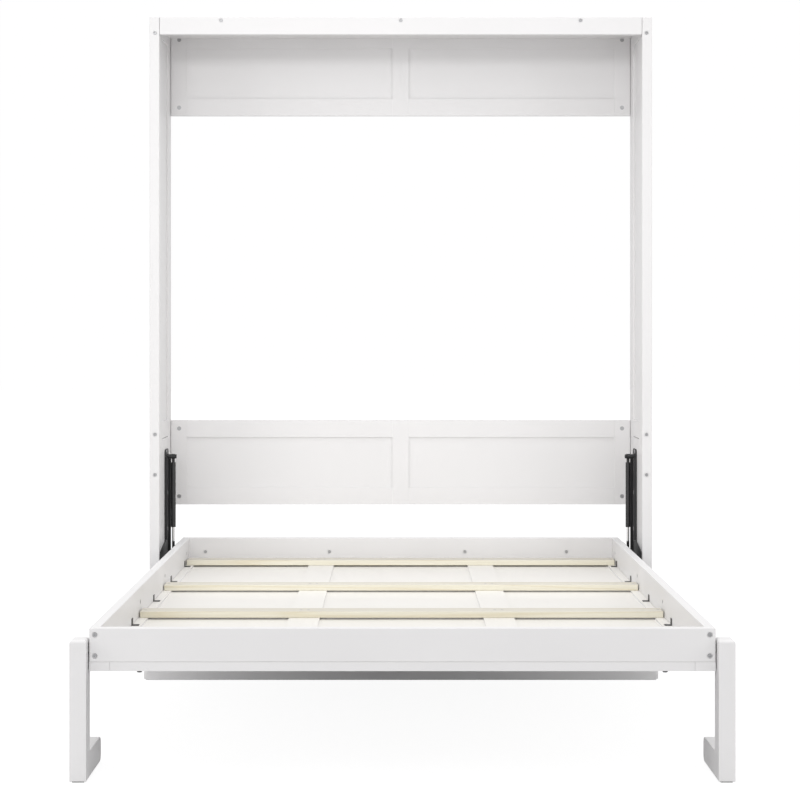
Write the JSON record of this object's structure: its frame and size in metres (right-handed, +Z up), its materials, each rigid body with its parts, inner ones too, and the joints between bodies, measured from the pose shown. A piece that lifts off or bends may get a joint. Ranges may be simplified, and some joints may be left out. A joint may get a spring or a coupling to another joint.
{
  "type": "fold-down wall bed",
  "caption": "Queen-size wall bed, folded down: a painted wood cabinet frame with a hinged slatted bed, gas struts and swinging legs at the foot.",
  "frame": {"origin": "on the floor, midway across the width and midway along the overall depth, bed open", "axes": "+X to the right seen from the foot of the bed, +Y towards the wall, +Z up"},
  "size_m": [1.753, 2.145, 2.236],
  "materials": {
    "white_paint": "white satin paint on wood",
    "pine": "planed bare pine",
    "black_steel": "black powder coat",
    "bright_rod": "ground and plated",
    "zinc_steel": "bright zinc plate",
    "nylon": "moulded nylon",
    "felt": "dense grey felt pads"
  },
  "bodies": {
    "cabinet": {"cabinet_bolts": "zinc_steel", "cam_locks": "zinc_steel", "floor_front_board": "white_paint", "floor_runner_left": "white_paint", "floor_runner_right": "white_paint", "front_post_left": "white_paint", "front_post_right": "white_paint", "lower_back_frame": "white_paint", "lower_back_infills": "white_paint", "mechanism_board_left": "white_paint", "mechanism_board_right": "white_paint", "pivot_pin_left": "zinc_steel", "pivot_pin_right": "zinc_steel", "pivot_plate_left": "black_steel", "pivot_plate_right": "black_steel", "rear_post_left": "white_paint", "rear_post_right": "white_paint", "side_panels_left": "white_paint", "side_panels_right": "white_paint", "side_rails_left": "white_paint", "side_rails_right": "white_paint", "top_board": "white_paint", "top_front_rail": "white_paint", "upper_back_frame": "white_paint", "upper_back_infills": "white_paint"},
    "bed": {"angle_brackets": "black_steel", "bed_arm_left": "black_steel", "bed_arm_right": "black_steel", "bed_bolts": "zinc_steel", "door_infills": "white_paint", "door_rails": "white_paint", "door_stiles": "white_paint", "foot_rail": "white_paint", "head_rail": "white_paint", "leg_bolt_left": "zinc_steel", "leg_bolt_right": "zinc_steel", "leg_washers": "nylon", "pivot_bush_left": "nylon", "pivot_bush_right": "nylon", "side_rail_left": "white_paint", "side_rail_right": "white_paint", "slat_foot": "pine", "slat_head": "pine", "slat_screws": "zinc_steel", "slat_second": "pine", "slat_third": "pine"},
    "left_leg": {"leg_foot_left": "white_paint", "leg_glides_left": "felt", "leg_left": "white_paint"},
    "left_strut_tube": {"strut_tube_eye_left": "black_steel", "strut_tube_left": "black_steel"},
    "left_strut_rod": {"strut_rod_eye_left": "black_steel", "strut_rod_left": "bright_rod"},
    "right_leg": {"leg_foot_right": "white_paint", "leg_glides_right": "felt", "leg_right": "white_paint"},
    "right_strut_tube": {"strut_tube_eye_right": "black_steel", "strut_tube_right": "black_steel"},
    "right_strut_rod": {"strut_rod_eye_right": "black_steel", "strut_rod_right": "bright_rod"}
  },
  "joints": [
    {"name": "bed_fold", "type": "hinge", "parent": "cabinet", "child": "bed", "pos_m": [0, 0.7865, 0.33], "axis": [-1, 0, 0], "range_deg": [0, 90]},
    {"name": "left_leg_fold", "type": "hinge", "parent": "bed", "child": "left_leg", "pos_m": [-0.819, -1.0295, 0.332], "axis": [1, 0, 0], "range_deg": [0, 90]},
    {"name": "left_strut_tilt", "type": "hinge", "parent": "cabinet", "child": "left_strut_tube", "pos_m": [-0.814, 0.9045, 0.691], "axis": [-1, 0, 0], "range_deg": [0, 12.8]},
    {"name": "left_strut_slide", "type": "slide", "parent": "left_strut_tube", "child": "left_strut_rod", "axis": [0, 0, -1], "range_m": [0, 0.1405]},
    {"name": "right_leg_fold", "type": "hinge", "parent": "bed", "child": "right_leg", "pos_m": [0.819, -1.0295, 0.332], "axis": [1, 0, 0], "range_deg": [0, 90]},
    {"name": "right_strut_tilt", "type": "hinge", "parent": "cabinet", "child": "right_strut_tube", "pos_m": [0.814, 0.9045, 0.691], "axis": [-1, 0, 0], "range_deg": [0, 12.8]},
    {"name": "right_strut_slide", "type": "slide", "parent": "right_strut_tube", "child": "right_strut_rod", "axis": [0, 0, -1], "range_m": [0, 0.1405]}
  ],
  "couplings": [
    {"joint": "left_leg_fold", "follows": "bed_fold", "ratio": 1},
    {"joint": "left_strut_tilt", "follows": "bed_fold", "ratio": 0.14118},
    {"joint": "left_strut_slide", "follows": "bed_fold", "m_per_rad": 0.089142},
    {"joint": "right_leg_fold", "follows": "bed_fold", "ratio": 1},
    {"joint": "right_strut_tilt", "follows": "bed_fold", "ratio": 0.14118},
    {"joint": "right_strut_slide", "follows": "bed_fold", "m_per_rad": 0.089142}
  ]
}
